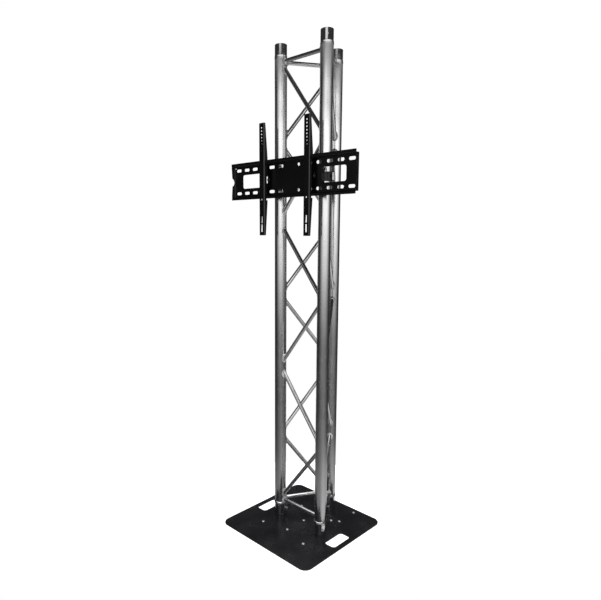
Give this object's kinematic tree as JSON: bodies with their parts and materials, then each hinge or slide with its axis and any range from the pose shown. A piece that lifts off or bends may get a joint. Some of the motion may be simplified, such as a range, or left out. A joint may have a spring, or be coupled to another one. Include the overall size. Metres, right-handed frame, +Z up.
{
  "type": "lighting truss section",
  "caption": "Upright triangular aluminium truss on a square steel base plate, with a flat screen bracket clamped to its front chords.",
  "frame": {"origin": "centre of the base plate's underside, which is the bottom centre of the whole object's box", "axes": "+Z up along the truss, -Y towards the screen side, X along the screen bracket"},
  "size_m": [0.66, 0.5, 2.0126],
  "materials": {
    "tube_aluminium": "bright drawn tube, lightly scuffed",
    "machined_aluminium": "turned, near mirror",
    "zinc_steel": "zinc plated",
    "base_black": "black powder coat, semi gloss",
    "bracket_black": "black powder coat, satin",
    "clamp_black": "black enamel, gloss"
  },
  "bodies": {
    "root": {"base_bolt_left": "zinc_steel", "base_bolt_rear": "zinc_steel", "base_bolt_right": "zinc_steel", "base_coupler_left": "machined_aluminium", "base_coupler_rear": "machined_aluminium", "base_coupler_right": "machined_aluminium", "base_plate": "base_black", "chord_left": "tube_aluminium", "chord_rear": "tube_aluminium", "chord_right": "tube_aluminium", "clamp_eye_bolt_left": "zinc_steel", "clamp_eye_bolt_right": "zinc_steel", "clamp_jaw_left": "clamp_black", "clamp_jaw_right": "clamp_black", "clamp_saddle_left": "clamp_black", "clamp_saddle_right": "clamp_black", "coupler_pin_left": "zinc_steel", "coupler_pin_rear": "zinc_steel", "coupler_pin_right": "zinc_steel", "diagonal_front_1": "tube_aluminium", "diagonal_front_2": "tube_aluminium", "diagonal_front_3": "tube_aluminium", "diagonal_front_4": "tube_aluminium", "diagonal_front_5": "tube_aluminium", "diagonal_front_6": "tube_aluminium", "diagonal_left_1": "tube_aluminium", "diagonal_left_2": "tube_aluminium", "diagonal_left_3": "tube_aluminium", "diagonal_left_4": "tube_aluminium", "diagonal_left_5": "tube_aluminium", "diagonal_left_6": "tube_aluminium", "diagonal_right_1": "tube_aluminium", "diagonal_right_2": "tube_aluminium", "diagonal_right_3": "tube_aluminium", "diagonal_right_4": "tube_aluminium", "diagonal_right_5": "tube_aluminium", "diagonal_right_6": "tube_aluminium", "fixing_bolt_left": "bracket_black", "fixing_bolt_right": "bracket_black", "lower_receiver_left": "machined_aluminium", "lower_receiver_rear": "machined_aluminium", "lower_receiver_right": "machined_aluminium", "lower_strut_front": "tube_aluminium", "lower_strut_left": "tube_aluminium", "lower_strut_right": "tube_aluminium", "upper_receiver_left": "machined_aluminium", "upper_receiver_rear": "machined_aluminium", "upper_receiver_right": "machined_aluminium", "upper_strut_front": "tube_aluminium", "upper_strut_left": "tube_aluminium", "upper_strut_right": "tube_aluminium", "wall_plate": "bracket_black"},
    "arm_left": {"tv_arm_left": "bracket_black"},
    "arm_right": {"tv_arm_right": "bracket_black"},
    "wing_nut_left": {"clamp_wing_nut_left": "zinc_steel"},
    "wing_nut_right": {"clamp_wing_nut_right": "zinc_steel"},
    "clip_left": {"r_clip_left": "zinc_steel"},
    "clip_right": {"r_clip_right": "zinc_steel"},
    "clip_rear": {"r_clip_rear": "zinc_steel"}
  },
  "joints": [
    {"name": "arm_left_slide", "type": "slide", "parent": "root", "child": "arm_left", "axis": [1, 0, 0], "range_m": [-0.165, 0.09]},
    {"name": "arm_right_slide", "type": "slide", "parent": "root", "child": "arm_right", "axis": [1, 0, 0], "range_m": [-0.085, 0.18]},
    {"name": "wing_nut_left_spin", "type": "hinge", "parent": "root", "child": "wing_nut_left", "pos_m": [-0.081, 0.0127, 1.486], "axis": [0, 1, 0], "continuous": true},
    {"name": "wing_nut_right_spin", "type": "hinge", "parent": "root", "child": "wing_nut_right", "pos_m": [0.081, 0.0127, 1.486], "axis": [0, 1, 0], "continuous": true},
    {"name": "clip_left_pull", "type": "slide", "parent": "root", "child": "clip_left", "axis": [0, 0, 1], "range_m": [0, 0.024]},
    {"name": "clip_right_pull", "type": "slide", "parent": "root", "child": "clip_right", "axis": [0, 0, 1], "range_m": [0, 0.024]},
    {"name": "clip_rear_pull", "type": "slide", "parent": "root", "child": "clip_rear", "axis": [0, 0, 1], "range_m": [0, 0.024]}
  ]
}
